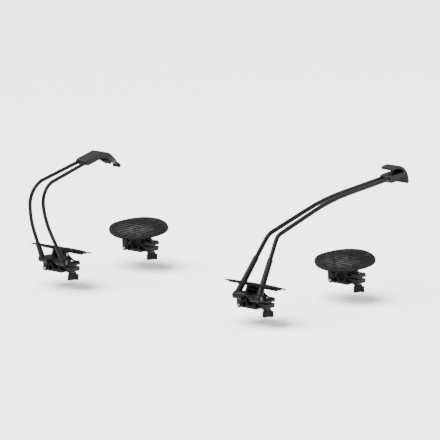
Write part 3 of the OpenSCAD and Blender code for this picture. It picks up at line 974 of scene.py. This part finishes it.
    def build(self) -> None:
        """Makes the pad and its carrier."""
        name = self.unit.value
        body = f"{name}_pad_body"
        slab = self.slab(f"{name}_pad_rubber")
        with Bench.editing(slab):
            Bench.pick(slab, "EDGE", lambda e: len(e.link_faces) == 2 and all(map(self.raised, e.verts))
                       and e.calc_face_angle(0.0) > math.radians(STEEP))
            bpy.ops.mesh.bevel(offset=self.slab_edge, segments=3, affect="EDGES", clamp_overlap=True)
        parts = [slab]
        rows = int((self.half_width - self.rim) / RIB_PITCH)
        for y in (i * RIB_PITCH for i in range(-rows, rows + 1)):
            parts.extend(self.rib_bar(f"{name}_rib", y, span) for span in self.rib_spans(y))
        pad = Bench.join(f"{name}_pad_rubber", parts)
        Bench.map_plan(pad)
        pin = self.unit.origin + Vector((0, 0, self.tilt_z))
        pad.data.transform(Matrix.Translation(pin) @ Matrix.Rotation(self.unit.lean, 4, "X"))
        Bench.smooth(pad, angle=40)
        settle(pad, self.finishes.pad, body, "pad_rubber", f"{name}_pad")
        work_up(f"{name}_pad_carrier", body, "moulding", self.carrier_edge, self.finishes.nylon)


@dataclass
class OverArm:
    """A two-rod arm with its moulded sockets and its lined hook."""

    unit: Unit
    finishes: Finishes
    front_radius: float = 0.0065
    rear_radius: float = 0.0055
    rod_start: float = 0.013        # from the pivot's axis to the rod's foot in its socket
    socket_edge: float = 0.0009
    hook_edge: float = 0.0022
    bolt_edge: float = 0.0004
    lining_ribs: int = 12
    lining_groove: float = 0.0009
    lining_wall: float = 0.0003

    @property
    def corners(self) -> list[Vector]:
        """The front rod's corners from the pivot to its end in the hook, in the unit's frame."""
        pivot = Vector((0.042, -0.033, 0.014))
        if self.unit is Unit.FRONT_ARM:
            return [pivot, Vector((0.017, 0.084, 0.180)), Vector((0.0125, 0.336, 0.245)),
                    Vector((0.0115, 0.676, 0.268))]
        return [pivot, Vector((0.031, -0.098, 0.142)), Vector((0.022, -0.115, 0.250)),
                Vector((0.0115, 0.160, 0.305))]

    @property
    def bends(self) -> list[float]:
        """Bend radius at each corner."""
        return [0.0, 0.045, 0.900, 0.0] if self.unit is Unit.FRONT_ARM else [0.0, 0.240, 0.065, 0.0]

    @property
    def radius(self) -> float:
        """Radius of the unit's rods."""
        return self.front_radius if self.unit is Unit.FRONT_ARM else self.rear_radius

    def rods(self, body: str) -> None:
        """Makes the two bent rods."""
        for side, label in ((1, "front"), (-1, "rear")):
            path = [Vector((side * p.x, p.y, p.z)) + self.unit.origin for p in self.corners]
            path[0] = path[0] + (path[1] - path[0]).normalized() * self.rod_start
            rod = Bench.bent_rod(f"{self.unit.value}_bent_rod_{label}", path, self.bends, self.radius)
            settle(rod, self.finishes.rod, body, "rod_coat", f"{self.unit.value}_rod_{label}")

    def lining(self, body: str) -> None:
        """Makes the grooved rubber lining under the hook."""
        node = f"{self.unit.value}_hook_lining"
        lining = Bench.from_node(node, f"{self.unit.value}_hook_rubber")
        low, high = (Vector(c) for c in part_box(node))
        cells = 2 * self.lining_ribs
        cell = (high.x - low.x) / cells
        with Bench.editing(lining):
            for i in range(1, cells):
                bpy.ops.mesh.select_all(action="SELECT")
                bpy.ops.mesh.bisect(plane_co=(low.x + cell * i, 0, 0), plane_no=(1, 0, 0))
            Bench.pick(lining, "FACE", lambda f: f.normal.z < -0.5
                       and int((f.calc_center_median().x - low.x) / cell) % 2 == 1)
            bpy.ops.mesh.inset(thickness=self.lining_wall, use_individual=True)
            bpy.ops.transform.translate(value=(0, 0, self.lining_groove))
        Bench.smooth(lining, angle=30)
        settle(lining, self.finishes.soft, body, "liner_rubber", node)

    def build(self) -> None:
        """Makes the arm's pieces."""
        name, finishes = self.unit.value, self.finishes
        body = name.replace("_arm", "_over_arm")
        self.rods(body)
        for socket in ("socket_front", "socket_rear"):
            work_up(f"{name}_{socket}", body, "moulding", self.socket_edge, finishes.nylon)
        work_up(f"{name}_hook", body, "moulding", self.hook_edge, finishes.nylon, segments=4)
        self.lining(body)
        work_up(f"{name}_pivot_bolts", "root", "black_bolt", self.bolt_edge, finishes.black_bolt)


@dataclass(frozen=True)
class Lamp:
    """One soft area light."""

    name: str
    place: Point
    size: float
    power: float

    def hang(self, target: Vector) -> None:
        """Hangs the light so that it faces a point.

        Args:
            target: The point.
        """
        data = bpy.data.lights.new(self.name, "AREA")
        data.shape = "SQUARE"
        data.size = self.size
        data.energy = self.power
        lamp = bpy.data.objects.new(self.name, data)
        lamp.location = self.place
        lamp.rotation_euler = (Vector(self.place) - target).to_track_quat("Z", "Y").to_euler()
        bpy.context.scene.collection.objects.link(lamp)


@dataclass
class Studio:
    """The pale sweep, soft lights and camera. The floor leaves room under the set for a lowered arm."""

    finishes: Finishes
    azimuth: float = 40.0
    elevation: float = 12.4
    distance: float = 20.9
    view_angle: float = 3.62
    sensor: float = 36              # millimetres
    far: float = 200
    ambient: float = 1.0
    overhead: float = 11.0
    overhead_spread: float = 50     # degrees
    overhead_from: Point = (-0.25, -0.30, 1.0)
    lamps: tuple[Lamp, ...] = (Lamp("key", (-1.6, -2.2, 2.6), 1.6, 60),
                               Lamp("rim", (0.8, 2.8, 1.8), 1.8, 50))
    floor_size: float = 60
    arm_room: float = 0.030

    def sweep(self, lowest: float) -> None:
        """Lays the backdrop under the set.

        Args:
            lowest: Height of the set's lowest point.
        """
        bpy.ops.object.select_all(action="DESELECT")
        bpy.ops.mesh.primitive_plane_add(size=self.floor_size, location=(0, 0, lowest - self.arm_room))
        floor = Bench.start("studio_floor")
        floor.data.materials.append(self.finishes.paper)

    def light(self, target: Vector) -> None:
        """Sets the soft studio light.

        Args:
            target: The point that the lamps face.
        """
        world = bpy.data.worlds.new("studio")
        world.use_nodes = True
        background = world.node_tree.nodes["Background"]
        background.inputs["Color"].default_value = grey(1.0)
        background.inputs["Strength"].default_value = self.ambient
        bpy.context.scene.world = world
        data = bpy.data.lights.new("overhead", "SUN")
        data.energy = self.overhead
        data.angle = math.radians(self.overhead_spread)
        sun = bpy.data.objects.new("overhead", data)
        sun.rotation_euler = Vector(self.overhead_from).to_track_quat("Z", "Y").to_euler()
        bpy.context.scene.collection.objects.link(sun)
        for lamp in self.lamps:
            lamp.hang(target)

    def shoot(self, target: Vector) -> None:
        """Sets the camera at the photograph's viewing angle.

        Args:
            target: The point that it looks at.
        """
        a, e = math.radians(self.azimuth), math.radians(self.elevation)
        back = Vector((math.sin(a) * math.cos(e), -math.cos(a) * math.cos(e), math.sin(e)))
        data = bpy.data.cameras.new("camera")
        data.sensor_width = self.sensor
        data.lens = self.sensor / 2 / math.tan(math.radians(self.view_angle / 2))
        data.clip_end = self.far
        camera = bpy.data.objects.new("camera", data)
        camera.location = target + back * self.distance
        camera.rotation_euler = back.to_track_quat("Z", "Y").to_euler()
        bpy.context.scene.collection.objects.link(camera)
        bpy.context.scene.camera = camera


def main() -> None:
    logging.basicConfig(level=logging.INFO, format="%(message)s")
    finishes = Finishes()
    for unit in Unit:
        Clamp(unit, finishes).build()
        SaddlePad(unit, finishes).build()
        if unit.is_arm:
            OverArm(unit, finishes).build()
    low, high = (Vector(c) for c in CAD_BOX)
    middle = (low + high) / 2
    studio = Studio(finishes)
    studio.sweep(low.z)
    studio.light(middle)
    studio.shoot(middle)


if __name__ == "__main__":
    main()
